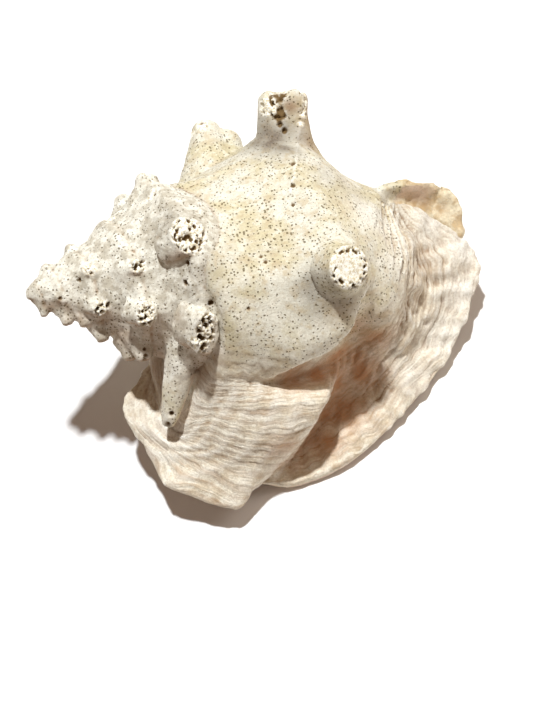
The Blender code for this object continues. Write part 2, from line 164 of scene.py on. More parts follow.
# Knobs and spines: radii are along the axis and round it, rise and width are those of the swelling
# below, and slant tilts the tip along the axis
spineFields = ("tip", "root", "tipRadii", "rootRadii", "flare", "rounding", "rise", "width", "slant")
spineRows = (
    ((105, 78, -28), (102, 44, -17), (7.2, 7.5), (19.0, 17.0), 1.15, 3.5, 3.0, 20.0, -0.08),
    ((115, 72, -26), (112, 44, -16), (7.5, 7.2), (17.0, 16.0), 1.6, 3.5, 2.0, 14.0, -0.3),
    ((135.5, 82.5, 12), (133, 45, 8), (12.4, 10.5), (22.0, 18.0), 2.6, 4.5, 4.0, 20.0, 0.03),
    ((130, -11, 79), (129, -10, 66), (10.0, 10.0), (14.0, 13.0), 1.6, 2.0, 5.0, 17.0, 0.0),
    ((95, 8, -76), (95, 5, -48), (9.0, 9.0), (19.0, 19.0), 2.2, 3.0, 2.0, 16.0, 0.0),
    ((67, 14, 51), (63, 11, 38), (8.8, 9.8), (11.0, 11.5), 1.6, 1.5, 4.0, 16.0, 0.0),
    ((70, -31, 49), (65, -24, 36), (6.5, 10.5), (8.8, 12.0), 1.5, 1.5, 4.0, 15.0, 0.0),
    ((47, -19, 37), (44, -15, 26), (5.2, 5.2), (7.5, 7.5), 1.6, 1.5, 4.0, 9.5, 0.0),
    ((46, 4, 36), (43, 3, 25), (4.0, 4.0), (7.0, 7.0), 1.6, 1.5, 3.0, 9.5, 0.0),
    ((27, 6, 21), (25, 4, 13), (3.0, 3.0), (5.5, 5.5), 1.6, 1.5, 2.0, 7.0, 0.0),
    ((29, -13, 22), (27, -9, 14), (3.8, 3.8), (6.0, 6.0), 1.6, 1.5, 3.0, 7.0, 0.0),
    ((13, -5, 12), (12, -3, 7), (2.4, 2.4), (4.0, 4.0), 1.6, 1.2, 1.5, 5.0, 0.0),
    ((55, -71, 9), (67, -30, 24), (3.2, 3.2), (8.8, 8.0), 0.62, 1.8, 3.0, 10.0, 0.0),
    ((48, -38, 15), (45, -24, 12), (3.8, 3.6), (7.5, 8.0), 1.2, 1.5, 3.5, 9.0, 0.0),
    ((43, -37, 6), (42, -26, 4), (3.4, 3.5), (7.0, 8.0), 1.3, 1.5, 2.5, 9.0, 0.0),
    ((31, -27, 9), (29, -17, 6), (3.4, 3.2), (6.0, 6.0), 1.6, 1.5, 2.5, 7.0, 0.0),
    ((23, -19, 11), (23, -12, 7), (2.8, 2.6), (5.0, 5.0), 1.6, 1.5, 1.5, 6.0, 0.0),
    ((16, -17, 6), (15, -9, 3), (3.0, 2.8), (5.0, 5.0), 1.6, 1.5, 1.5, 6.0, 0.0),
    ((6, -12, 1), (6, -6, 1), (2.2, 2.2), (4.0, 4.0), 1.6, 1.2, 1.0, 5.0, 0.0),
    ((64, 50, 4), (61, 34, 3), (5.5, 6.0), (11.0, 11.0), 1.7, 2.5, 2.5, 11.0, 0.0),
    ((55, 43, -14), (53, 29, -10), (5.0, 5.5), (10.0, 11.0), 1.7, 2.5, 2.5, 10.0, 0.0),
    ((41, 30, 1), (40, 17, 0), (3.6, 3.6), (7.0, 7.0), 1.7, 2.0, 2.5, 7.0, 0.0),
    ((24, 21, -2), (24, 10, -1), (3.4, 3.4), (6.5, 6.5), 1.7, 2.0, 2.0, 6.5, 0.0),
    ((11, 13, -2), (10, 5, -1), (3.0, 3.0), (5.0, 5.0), 1.7, 1.5, 1.0, 5.0, 0.0),
)
spines = [dict(zip(spineFields, row)) for row in spineRows]
tallestSpine = 2
bodySpines = (0, 1, 2, 3, 4, 12)
spineSides, spineRings = 28, 10

# Knobs of the hidden side: turns, height over the shoulder and half width as shares of its radius
hiddenKnobTurns = (-1.5, -1.64, -2.5, -2.64, -3.5, -3.64)
hiddenKnobRise, hiddenKnobWidth = 0.10, 0.22

# Columella: centre in the growth frame, radius
columella = (
    (70, 0, 0, 20), (110, 2, 0, 16), (140, 7, 1, 13), (165, 14, 3, 11), (185, 17, 5, 9), (198, 16, 5, 6),
)
flapCentre, flapRadii = (193.0, 12.0), (28.0, 21.0)
flapFloor, flapRise, flapThickness = 4.0, 9.0, 4.5
flapPower = 2.6  # 2 is an oval, more is squarer


# Smooth curve through a table's rows that never overshoots between them
def smoothTable(rows, at):
    keys = np.array([row[0] for row in rows], dtype=float)
    values = np.array([row[1:] for row in rows], dtype=float)
    slopes = np.diff(values, axis=0) / np.diff(keys)[:, None]
    tangents = np.zeros_like(values)
    total = np.where(slopes[:-1] + slopes[1:] == 0, 1, slopes[:-1] + slopes[1:])
    tangents[1:-1] = np.where(slopes[:-1] * slopes[1:] > 0, 2 * slopes[:-1] * slopes[1:] / total, 0)
    tangents[0], tangents[-1] = slopes[0], slopes[-1]
    at = min(max(at, keys[0]), keys[-1])
    i = min(int(np.searchsorted(keys, at, side="right")) - 1, len(keys) - 2)
    h = keys[i + 1] - keys[i]
    u = (at - keys[i]) / h
    return ((1 + 2 * u) * (1 - u) ** 2 * values[i] + u * (1 - u) ** 2 * h * tangents[i]
            + u * u * (3 - 2 * u) * values[i + 1] + u * u * (u - 1) * h * tangents[i + 1])


# Soft step from 0 at low to 1 at high
def ease(value, low, high):
    u = np.clip((value - low) / (high - low), 0.0, 1.0)
    return u * u * (3 - 2 * u)


# The columella bends up and towards the viewer as it nears the canal
def centreLine(along):
    return 24.0 * ease(along, 112.0, 205.0), 8.0 * ease(along, 125.0, 210.0)


def whorlSection(turn):
    along, radius = smoothTable(shoulder, turn)
    backAlong, backRadius = smoothTable(shoulder, turn - 1.0)
    suture = (backAlong + 0.05 * (along - backAlong), backRadius * 0.93)
    late = ease(turn, -1.9, -1.0)
    reach = anteriorEnd if turn > -1.0 else along + (anteriorEnd - along) * late + 1.4 * radius * (1 - late)
    mix = ease(turn, -0.62, -0.3)
    angle = math.radians(dorsalAngle + 360.0 * turn)
    profile = []
    for j in range(rampSteps):
        u = j / rampSteps
        hollow = 0.05 * radius * math.sin(math.pi * u)
        out = suture[1] + (radius - suture[1]) * (u ** 0.85) - hollow
        profile.append((suture[0] + (along - suture[0]) * u, out))
    for outer, inner in zip(outerSide, innerSide):
        share = inner[1] + (outer[1] - inner[1]) * mix
        profile.append((along + (reach - along) * outer[0], radius * share))
    section = []
    for s, r in profile:
        dy, dz = centreLine(s)
        section.append((s, r * math.cos(angle) + dy, r * math.sin(angle) + dz))
    return np.array(section)


def spineAxis(spine):
    tip, root = np.array(spine["tip"], float), np.array(spine["root"], float)
    length = np.linalg.norm(tip - root)
    return root, (tip - root) / length, length


# Pushes the surface out under each knob so that it grows from a rounded swelling
def swell(places):
    swollen = places.copy()
    for spine in spines:
        root, direction, length = spineAxis(spine)
        offset = places - root
        along = offset @ direction
        aside = np.maximum((offset ** 2).sum(-1) - along ** 2, 0.0)
        push = spine["rise"] * np.exp(-aside / spine["width"] ** 2) * ease(along, -10.0, 5.0)
        swollen += direction * push[..., None]
    return swollen


# Adds points between the rows on a smooth curve through them
def refine(rows, steps):
    rows = np.asarray(rows, dtype=float)
    out = []
    last = len(rows) - 1
    for i in range(last):
        p0 = rows[max(i - 1, 0)]
        p1, p2 = rows[i], rows[i + 1]
        p3 = rows[min(i + 2, last)]
        for k in range(steps):
            u = k / steps
            out.append(0.5 * (2 * p1 + (p2 - p0) * u + (2 * p0 - 5 * p1 + 4 * p2 - p3) * u * u
                              + (3 * p1 - p0 - 3 * p2 + p3) * u ** 3))
    out.append(rows[last])
    return np.array(out)


def meshObject(name, grid, wrap=False, caps=False):
    rows, cols = len(grid), len(grid[0])
    verts = [tuple(p) for row in grid for p in row]
    faces = []
    for i in range(rows - 1):
        for j in range(cols if wrap else cols - 1):
            k = (j + 1) % cols
            faces.append((i * cols + j, i * cols + k, (i + 1) * cols + k, (i + 1) * cols + j))
    if caps:
        faces.append(tuple(range(cols - 1, -1, -1)))
        faces.append(tuple((rows - 1) * cols + j for j in range(cols)))
    mesh = bpy.data.meshes.new(name)
    mesh.from_pydata(verts, [], faces)
    mesh.update()
    item = bpy.data.objects.new(name, mesh)
    bpy.context.scene.collection.objects.link(item)
    return item


def coreGrid():
    count = int((coreEndTurn - firstTurn) * stepsPerTurn)
    turns = [firstTurn + (coreEndTurn - firstTurn) * i / count for i in range(count + 1)]
    return np.array([refine(whorlSection(turn), sectionSteps) for turn in turns]), np.array(turns)


def coreObject(grid):
    closed = []
    for section in grid:
        first, final = section[0], section[-1]
        low, high = centreLine(first[0]), centreLine(final[0])
        closed.append([(first[0], *low)] + [tuple(p) for p in section] + [(final[0], *high)])
    return meshObject("core", closed, wrap=True, caps=True)


# The last half turn and the lip: rows of points, and the growth position of each row in stages
def wallGrid():
    rows, stages = [], []
    count, blendTurn = 30, 0.2
    firstEdge = np.array(lipStages[0], dtype=float)
    for i in range(count):
        turn = wallStartTurn * (1 - i / count)
        weight = ease(turn, -blendTurn, 0.0)
        rows.append(whorlSection(turn) * (1 - weight) + firstEdge * weight)
        stages.append(turn * stagesPerTurn)
    late = refine(lipStages, stageSteps)
    grid = np.vstack([np.array(rows), late])
    stages = np.array(stages + [i / stageSteps for i in range(len(late))])
    for step in range(growthSmoothing):
        grid[1:-1] = 0.25 * grid[:-2] + 0.5 * grid[1:-1] + 0.25 * grid[2:]
    out = []
    for row, at in zip(grid, stages):
        share = 0.72 - 0.16 * ease(at, 1.5, 4.0)
        inward = np.array([row[0][0] - 2.0, row[0][1] * share, row[0][2] * share])
        out.append(refine([inward] + list(row), rowSteps))
    return np.array(out), stages


def wallObject(grid):
    item = meshObject("wall", grid)
    group = item.vertex_groups.new(name="thick")
    rows, cols = len(grid), len(grid[0])
    wall, thickest, lowerRim = conch["wallThickness"], conch["lipThickness"], conch["lowerRim"]
    for i in range(rows):
        nearRim = ease(i, rows - 3.5 * stageSteps, rows - 1)
        for j in range(cols):
            rim = lowerRim + (thickest - lowerRim) * ease(j / rowSteps - 1, 8.0, 10.0)
            group.add([i * cols + j], float((wall + (rim - wall) * nearRim) / thickest), "REPLACE")
    solid = item.modifiers.new("solid", "SOLIDIFY")
    solid.thickness = thickest
    solid.offset = 1.0
    solid.vertex_group = "thick"
    return item


# A spine is lofted from a wide oval root to its blunt rounded tip
def spineObject(name, spine):
    tip, root = Vector(spine["tip"]), Vector(spine["root"])
    (tipA, tipB), (rootA, rootB), rounding = spine["tipRadii"], spine["rootRadii"], spine["rounding"]
    axis = (tip - root).normalized()
    length = (tip - root).length
    across = (Vector((1, 0, 0)) - axis * axis.x).normalized()
    around = axis.cross(across)
    rings = [(rootA * 0.02, rootB * 0.02, 0.0)]
    for k in range(spineRings):
        u = k / (spineRings - 1)
        share = (1 - u) ** spine["flare"]
        rings.append((tipA + (rootA - tipA) * share, tipB + (rootB - tipB) * share, (length - rounding) * u))
    for degrees in (28, 56, 84):
        a = math.radians(degrees)
        shrink = rounding * (1 - math.cos(a))
        h = length - rounding + rounding * math.sin(a)
        rings.append((max(tipA - shrink, 0.2), max(tipB - shrink, 0.2), h))
    rings.append((0.05, 0.05, length))
    grid = []
    for a, b, h in rings:
        ring = []
        for k in range(spineSides):
            w = 2 * math.pi * k / spineSides
            lift = spine["slant"] * a * math.cos(w) * (h / length) ** 2
            aside = across * (a * math.cos(w)) + around * (b * math.sin(w))
            ring.append(tuple(root + axis * (h + lift) + aside))
        grid.append(ring)
    return meshObject(name, grid, wrap=True, caps=True)


def hiddenKnobs():
    out = []
    for k, turn in enumerate(hiddenKnobTurns):
        along, radius = smoothTable(shoulder, turn)
        angle = math.radians(dorsalAngle + 360.0 * turn)
        top, low = radius * (1 + hiddenKnobRise), radius * 0.7
        width = radius * hiddenKnobWidth
        out.append(spineObject("hidden knob %d" % k, {
            "tip": (along, top * math.cos(angle), top * math.sin(angle)),
            "root": (along - 1.0, low * math.cos(angle), low * math.sin(angle)),
            "tipRadii": (width * 0.4,) * 2, "rootRadii": (width * 1.1,) * 2,
            "flare": 1.8, "rounding": width * 0.3, "slant": 0.0,
        }))
    return out


def tubeObject(name, stations, sides=24):
    dense = refine([np.array(station, dtype=float) for station in stations], 4)
    angles = [2 * math.pi * k / sides for k in range(sides)]
    grid = []
    for i, station in enumerate(dense):
        back, ahead = dense[max(i - 1, 0)][:3], dense[min(i + 1, len(dense) - 1)][:3]
        direction = Vector(ahead - back).normalized()
        across = direction.cross(Vector((0, 0, 1))).normalized()
        rise = across.cross(direction)
        centre, radius = Vector(station[:3]), float(station[3])
        grid.append([tuple(centre + (across * math.cos(a) + rise * math.sin(a)) * radius) for a in angles])
    return meshObject(name, grid, wrap=True, caps=True)


# The canal's end is a shallow dish, hollow towards the shell's back
def flapObject():
    grid = []
    rings, sides = 12, 56
    for i in range(rings):
        share = 0.02 + 0.98 * i / (rings - 1)
        row = []
        for k in range(sides):
            a = 2 * math.pi * k / sides
            c, s = math.cos(a), math.sin(a)
            reach = share * (abs(c) ** flapPower + abs(s) ** flapPower) ** (-1 / flapPower)
            row.append((flapCentre[0] + flapRadii[0] * reach * c, flapCentre[1] + flapRadii[1] * reach * s,
                        flapFloor + flapRise * share ** 2.2))
        grid.append(row)
    item = meshObject("flap", grid, wrap=True)
    mesh = bmesh.new()
    mesh.from_mesh(item.data)
    inner = [e for e in mesh.edges if e.is_boundary and e.calc_length() < 2.0]
    bmesh.ops.holes_fill(mesh, edges=inner, sides=0)
    bmesh.ops.recalc_face_normals(mesh, faces=mesh.faces)
    mesh.to_mesh(item.data)
    mesh.free()
    solid = item.modifiers.new("solid", "SOLIDIFY")
    solid.thickness = flapThickness
    solid.offset = 0.0
    return item


def evaluatedCopy(item):
    graph = bpy.context.evaluated_depsgraph_get()
    return bpy.data.meshes.new_from_object(item.evaluated_get(graph))


def joinAll(items, name):
    whole = bmesh.new()
    for item in items:
        data = evaluatedCopy(item)
        whole.from_mesh(data)
        bpy.data.objects.remove(item, do_unlink=True)
        bpy.data.meshes.remove(data)
    data = bpy.data.meshes.new(name)
    whole.to_mesh(data)
    whole.free()
    joined = bpy.data.objects.new(name, data)
    bpy.context.scene.collection.objects.link(joined)
    return joined


def readVectors(items, field):
    values = np.empty(len(items) * 3)
    items.foreach_get(field, values)
    return values.reshape(-1, 3)


# An even random number from 0 to 1 for each cell, the same in every run
def hashUnit(ix, iy, iz, seed):
    n = (ix * 73856093) ^ (iy * 19349663) ^ (iz * 83492791) ^ (seed * 2654435761)
    n &= 0xFFFFFFFF
    n = ((n ^ (n >> 15)) * 2246822519) & 0xFFFFFFFF
    n = ((n ^ (n >> 13)) * 3266489917) & 0xFFFFFFFF
    return ((n ^ (n >> 16)) & 0xFFFFFFFF) / 4294967295.0


# Smooth noise between -1 and 1 with lumps of one size
def noise(places, size, seed):
    scaled = places / size
    cell = np.floor(scaled).astype(np.int64)
    f = scaled - cell
    w = f * f * f * (f * (f * 6 - 15) + 10)
    total = 0.0
    for dx in (0, 1):
        wx = w[:, 0] if dx else 1 - w[:, 0]
        for dy in (0, 1):
            wy = w[:, 1] if dy else 1 - w[:, 1]
            for dz in (0, 1):
                wz = w[:, 2] if dz else 1 - w[:, 2]
                draw = hashUnit(cell[:, 0] + dx, cell[:, 1] + dy, cell[:, 2] + dz, seed)
                total = total + wx * wy * wz * draw
    return total * 2 - 1


# Height of lumps of several sizes: size, height, seed
def lumps(places, layers):
    return sum(high * noise(places, size, seed) for size, high, seed in layers)


# Distance to the nearest of points scattered one to a cell, in cell sizes
def cellDistance(places, size, seed):
    scaled = places / size
    cell = np.floor(scaled).astype(np.int64)
    nearest = np.full(len(places), 9.0)
    for dx in (-1, 0, 1):
        for dy in (-1, 0, 1):
            for dz in (-1, 0, 1):
                ix, iy, iz = cell[:, 0] + dx, cell[:, 1] + dy, cell[:, 2] + dz
                spot = np.stack([ix + hashUnit(ix, iy, iz, seed), iy + hashUnit(ix, iy, iz, seed + 1),
                                 iz + hashUnit(ix, iy, iz, seed + 2)], axis=1)
                nearest = np.minimum(nearest, np.linalg.norm(scaled - spot, axis=1))
    return nearest


# Overlapping growth scales: each rises slowly and drops at its edge
def scales(position, period, seed):
    x = position / period
    i = np.floor(x).astype(np.int64)
    f = x - i
    tall = 0.35 + 0.65 * hashUnit(i, i * 0 + 7, i * 0 + 3, seed)
    edgeAt = 0.78
    return np.where(f < edgeAt, f / edgeAt, 1 - ease(f, edgeAt, 1.0)) * tall


coreRows, coreTurns = coreGrid()
wallRows, wallStages = wallGrid()
coreRows, wallRows = swell(coreRows), swell(wallRows)
items = [coreObject(coreRows), wallObject(wallRows), tubeObject("columella", columella), flapObject()]
items += [spineObject("spine %d" % index, spine) for index, spine in enumerate(spines)]
items += hiddenKnobs()
body = joinAll(items, "shell form")
remesh = body.modifiers.new("remesh", "REMESH")
remesh.mode = "VOXEL"
remesh.voxel_size = conch["voxel"]
smooth = body.modifiers.new("smooth", "SMOOTH")
smooth.factor = 0.5
smooth.iterations = int(round(3 * (1.5 / conch["voxel"]) ** 2))
formMesh = evaluatedCopy(body)
bpy.data.objects.remove(body, do_unlink=True)
points = readVectors(formMesh.vertices, "co")
normals = readVectors(formMesh.vertex_normals, "vector")
print("form", len(points), "points", round(time.time() - startTime, 1), "s")


def gridTriangles(grid, start):
    rows, cols = grid.shape[:2]
    i, j = np.meshgrid(np.arange(rows - 1), np.arange(cols - 1), indexing="ij")
    a = (start + i * cols + j).ravel()
    b, c, d = a + 1, a + cols + 1, a + cols
    return np.vstack([np.stack([a, b, c], 1), np.stack([a, c, d], 1)])


# Growth position of every point, read from the nearest place on the whorls' own surface:
# stage along the growth, place across it, how much the point faces outwards, distance to that surface
def growthPositions():
    corePlaces, wallPlaces = coreRows.reshape(-1, 3), wallRows.reshape(-1, 3)
    places = np.vstack([corePlaces, wallPlaces])
    coreStages = np.repeat(np.minimum(coreTurns * stagesPerTurn, 0.0), coreRows.shape[1])
    stageAt = np.concatenate([coreStages, np.repeat(wallStages, wallRows.shape[1])])
    coreAcross = np.tile(np.arange(coreRows.shape[1]) / sectionSteps, coreRows.shape[0])
    wallAcross = np.tile(np.arange(wallRows.shape[1]) / rowSteps - 1.0, wallRows.shape[0])
    acrossAt = np.concatenate([coreAcross, wallAcross])
    triangles = np.vstack([gridTriangles(coreRows, 0), gridTriangles(wallRows, len(corePlaces))])
    whorls = BVHTree.FromPolygons(places.tolist(), triangles.tolist())
    hits = [whorls.find_nearest(p) for p in points.tolist()]
    hitPlace = np.array([hit[0][:] for hit in hits])
    corners = triangles[np.array([hit[2] for hit in hits])]
    a, b, c = places[corners[:, 0]], places[corners[:, 1]], places[corners[:, 2]]
    ab, ac, ap = b - a, c - a, hitPlace - a
    abab, abac, acac = (ab * ab).sum(1), (ab * ac).sum(1), (ac * ac).sum(1)
    apab, apac = (ap * ab).sum(1), (ap * ac).sum(1)
    area = np.maximum(abab * acac - abac * abac, 1e-9)
    wb = np.clip((acac * apab - abac * apac) / area, 0, 1)
    wc = np.clip((abab * apac - abac * apab) / area, 0, 1)
    wa = 1 - wb - wc
    along, sideways = [wa * at[corners[:, 0]] + wb * at[corners[:, 1]] + wc * at[corners[:, 2]]
                       for at in (stageAt, acrossAt)]
    inward = np.cross(ab, ac)
    inward /= np.maximum(np.linalg.norm(inward, axis=1), 1e-9)[:, None]
    return along, sideways, -(normals * inward).sum(1), np.linalg.norm(points - hitPlace, axis=1)


stage, across, outward, gapToSheet = growthPositions()
print("growth positions", round(time.time() - startTime, 1), "s")

# Place across the row in millimetres, measured on a late growth edge
edgeSteps = np.linalg.norm(np.diff(np.array(lipStages[lateStage], float), axis=0), axis=1)
edgeLength = np.concatenate([[0.0], np.cumsum(edgeSteps)])
acrossLength = np.interp(across, np.arange(len(edgeLength)), edgeLength)

outside = ease(outward, -0.1, 0.35)
inside = 1 - ease(outward, -0.6, -0.2)
spireShare = 1 - ease(stage, *conch["spireEnds"])
wingShare = ease(stage, *conch["wingStarts"])
onFlap = ease(points[:, 0], 186, 194) * ease(points[:, 1], -2, 4) * (1 - ease(points[:, 2], 15, 19))

# Knobs carry no growth ridges; those of the body whorl are cream, those of the spire chalky
knobShare = np.zeros(len(points))
for index, spine in enumerate(spines):
    root, direction, length = spineAxis(spine)
    offset = points - root
    along = offset @ direction
    aside = np.sqrt(np.maximum((offset ** 2).sum(1) - along ** 2, 0.0))
    u = np.clip(along / length, 0.0, 1.0)
    radius = spine["tipRadii"][1] + (spine["rootRadii"][1] - spine["tipRadii"][1]) * (1 - u) ** spine["flare"]
    onKnob = ease(along / length, 0.3, 0.6) * (1 - ease(aside / radius, 1.2, 1.6))
    onKnob *= 1 - ease(along - length, 1.0, 3.0)
    knobShare = np.maximum(knobShare, onKnob)
    spireShare = spireShare * (1 - onKnob) + onKnob * (0.0 if index in bodySpines else 1.0)
wingShare = wingShare * (1 - knobShare)

edges = np.empty(len(formMesh.edges) * 2, dtype=np.int64)
formMesh.edges.foreach_get("vertices", edges)
edges = edges.reshape(-1, 2)
degree = np.maximum(np.bincount(edges.ravel(), minlength=len(points)), 1)


def neighbourMean(values):
    total = np.bincount(edges[:, 0], weights=values[edges[:, 1]], minlength=len(points)) \
        + np.bincount(edges[:, 1], weights=values[edges[:, 0]], minlength=len(points))
    return total / degree


# The suture: neighbouring points whose growth positions lie about a whole turn apart
jump = np.abs(stage[edges[:, 0]] - stage[edges[:, 1]]) > stagesPerTurn / 2
suture = np.zeros(len(points))
suture[edges[jump].ravel()] = 1.0
for step in range(3):
    suture = 0.4 * suture + 0.6 * neighbourMean(suture)
suture = np.clip(suture * 1.6, 0, 1) * outside * (1 - knobShare)

# Weathering: broad wear and fine grit, rougher on the spire and smoother in the mouth
height = np.zeros(len(points))
erosion = lumps(points, conch["erosion"])
height += erosion * (0.6 + 0.8 * spireShare) * (1 - 0.6 * inside)
height += spireShare * outside * lumps(points, conch["spireGrit"])
height += onFlap * lumps(points, conch["flapLumps"])
height -= conch["sutureDepth"] * suture

# Growth ridges follow the growing edge, crinkled by folds that cross them
wave = 2 * math.pi * (acrossLength - 5.0 * stage) / conch["crinkleLength"] + 1.8 * noise(points, 20, 5)
onFold = (1 - ease(across, *conch["foldRows"])) * ease(stage, *conch["foldStarts"]) * (1 - knobShare)
shortCrinkle = 0.04 * np.sin(wave) + 0.07 * noise(points, 7, 7) + 0.03 * noise(points, 3, 18)
crinkle = 0.16 * noise(points, 17, 6) + (1 - 0.7 * onFold) * shortCrinkle
phase = stage + crinkle * ease(stage, -1.0, 3.0) + 0.1 * noise(points, 26, 15)
broadRidge = scales(phase + 0.1 * noise(points, 30, 19), *conch["broadRidges"])
ridge = scales(phase, *conch["ridges"])
fineRidge = scales(phase, *conch["fineRidges"])
patchy = 0.6 + 0.4 * noise(points, 14, 13)
front = ease(across, *conch["frontRows"])
ridged = (1 - front) * ease(stage, 1.2, 3.4) + front * ease(stage, -1.2, 1.0)
ridged *= (1 - spireShare) * (1 - knobShare) * (1 - ease(across, *conch["canalRows"]) * 0.8)
outerWing = ease(stage, *conch["outerWingStarts"]) * (1 - onFold)
middleOfRidge = 0.35  # ridges stand partly above the plain surface and partly below it
broadHeight = 0.8 - 0.6 * onFold + 1.3 * front * (1 - outerWing)
ridgeHeight = (0.75 - 0.3 * outerWing - 0.25 * onFold) * patchy
fineHeight = 0.35
height += outside * ridged * (broadHeight * (broadRidge - middleOfRidge)
                              + ridgeHeight * (ridge - middleOfRidge)
                              + fineHeight * (fineRidge - middleOfRidge))
height += outside * (1 - spireShare) * (1 - knobShare) * 0.05 * (fineRidge - 0.4)

# Pleats of the fold, folds across the ridges of the wing, and lumps of the outer wing and its rim
pleat = np.sin(2 * math.pi * acrossLength / conch["pleatLength"] + 1.5 * noise(points, 25, 26))
height += outside * onFold * 0.35 * pleat
folds = ease(noise(points, 16, 14), -0.5, 0.6) * (0.8 - 0.7 * onFold - 0.4 * outerWing)
height += outside * ridged * ease(stage, 2.0, 4.0) * folds * np.sin(wave)
lumpyWing = outside * ease(stage, 2.2, 4.0) * ease(across, 6.5, 8.5) * (1 - knobShare)
height += lumpyWing * lumps(points, conch["wingLumps"])
rimShare = ease(stage, *conch["rimStarts"]) * (1 - knobShare)
height += rimShare * outside * lumps(points, conch["rimLumps"])
lipEdge = ease(stage, *conch["lipEdgeStarts"]) * ease(across, 8.5, 9.5) * (1 - ease(across, 13.2, 14.0))
height += outside * lipEdge * (0.9 + 0.7 * noise(points, 6.0, 10))


def placeFinder(places):
    finder = KDTree(len(places))
    for index, p in enumerate(places.tolist()):
        finder.insert(p, index)
    finder.balance()
    return finder


surfaceFinder = placeFinder(points)


def nearestSurface(place):
    return points[surfaceFinder.find(place)[1]]


# The sharp fold down the front of the tallest spine
keel = ((138, 64, 21), (133, 54, 27), (127, 45, 38), (123, 36, 43), (119, 28, 47))
keelShare = np.zeros(len(points))
for place in refine(np.array(keel, float), 8):
    gap = np.linalg.norm(points - nearestSurface(place), axis=1)
    keelShare = np.maximum(keelShare, np.exp(-(gap / conch["keelWidth"]) ** 2))
height += conch["keelHeight"] * keelShare

# The crisp edge of the whorl where it overhangs the lip, fading out towards the spire
overhang = (
    (139, -24, 62), (137, -32, 56), (133, -38, 54), (124, -45, 51),
    (112, -49, 48), (101, -54, 42), (95, -56, 38),
)
overhangWay = np.array([0.5, -0.84, -0.2])
edgeGap, edgeSide, edgeShare = np.full(len(points), 99.0), np.zeros(len(points)), np.zeros(len(points))
edgePlaces = refine(np.array(overhang, float), 10)
for index, place in enumerate(edgePlaces):
    gap = np.linalg.norm(points - place, axis=1)
    closer = gap < edgeGap
    edgeGap = np.where(closer, gap, edgeGap)
    edgeSide = np.where(closer, (points - place) @ overhangWay, edgeSide)
    edgeShare = np.where(closer, 1 - ease(index / len(edgePlaces), 0.65, 0.97), edgeShare)
stepDown = np.tanh((edgeSide - 0.5) / 1.1) * np.exp(-(edgeGap / conch["overhangWidth"]) ** 2)
height -= conch["overhangStep"] * edgeShare * stepDown * outside

# The tallest spine is three-sided, with the keel on the edge towards the viewer
root, axis, length = spineAxis(spines[tallestSpine])
offset = points - root
along = offset @ axis
radial = offset - along[:, None] * axis
fromAxis = np.linalg.norm(radial, axis=1)
keelWay = np.array([0.42, 0.0, 0.91])
keelWay -= (keelWay @ axis) * axis
keelWay /= np.linalg.norm(keelWay)
angle = np.arctan2(radial @ np.cross(axis, keelWay), radial @ keelWay)
onSpine = ease(along, 6, 18) * ease(fromAxis, 4, 9) * (1 - ease(fromAxis, 17, 21))
height += conch["threeSidedHeight"] * onSpine * np.cos(3 * angle)

# Spongy broken ends: centre, radius, hole depth
brokenEnds = (
    ((67, 15, 52), 9.6, 2.4), ((71, -25, 52), 5.0, 2.6), ((68, -31, 51), 6.0, 2.6),
    ((64, -36, 48), 5.4, 2.4), ((45, -18, 37), 6.2, 3.4), ((45, 5, 36), 4.8, 2.4),
    ((26, 7, 21), 4.2, 1.4), ((29, -12, 22), 4.6, 2.8), ((124, 75, 17), 5.0, 1.7),
    ((128, 79, 19), 4.6, 1.7), ((128, 71, 20), 4.2, 1.7), ((132, 82, 20), 3.0, 1.3),
    ((141, 80, 19), 2.8, 1.4), ((141, 75, 20), 2.4, 1.4), ((140, 70, 20), 2.4, 1.4),
    ((138, 65, 21), 2.0, 1.2), ((101, 76, -20), 3.6, 0.6), ((97, 72, -24), 3.0, 0.6),
    ((60, 38, 21), 3.4, 1.4), ((63, 49, 6), 3.0, 1.2), ((45, 28, 4), 3.0, 1.0),
)
sponge = np.zeros(len(points))
for centre, radius, depth in brokenEnds:
    gap = np.linalg.norm(points - nearestSurface(centre), axis=1) + 0.7 * noise(points, 3.0, 16)
    broken = 1 - ease(gap, radius - 1.0, radius + 0.4)
    near = broken > 0
    away = normals[surfaceFinder.find(centre)[1]]
    broken[near] *= ease((normals[near] * away).sum(1), 0.1, 0.5)
    largePits = 1 - ease(cellDistance(points[near], 2.6, 21), 0.36, 0.50)
    smallPits = 0.5 * (1 - ease(cellDistance(points[near], 1.6, 31), 0.22, 0.42))
    pits = np.maximum(largePits, smallPits) * depth
    height[near] -= broken[near] * (pits + 0.9 * noise(points[near], 3.4, 27))
    sponge[near] = np.maximum(sponge[near], broken[near])

# The broken knob of the whorl: a ring of pits round a rough solid core
ringCentre, ringOuter, ringInner = np.array([130.0, -11.0, 79.0]), 10.5, 7.0
gap = np.linalg.norm(points - ringCentre, axis=1)
near = gap < ringOuter + 1.5
gap = gap[near]
away = ringCentre * (0, 1, 1)
facing = ease((normals[near] * (away / np.linalg.norm(away))).sum(1), 0.3, 0.6)
ring = ease(gap, ringInner - 1.0, ringInner + 0.6) * (1 - ease(gap, ringOuter - 1.2, ringOuter + 0.6))
ringPits = 1 - ease(cellDistance(points[near], 2.4, 41), 0.34, 0.52)
roughCore = (0.5 + 0.5 * noise(points[near], 1.6, 42)) * (gap < ringInner + 1)
height[near] -= facing * (2.4 * ring * ringPits + 0.6 * (1 - ring) * roughCore)
sponge[near] = np.maximum(sponge[near], facing * (1 - ease(gap, ringOuter - 0.8, ringOuter + 0.8)))

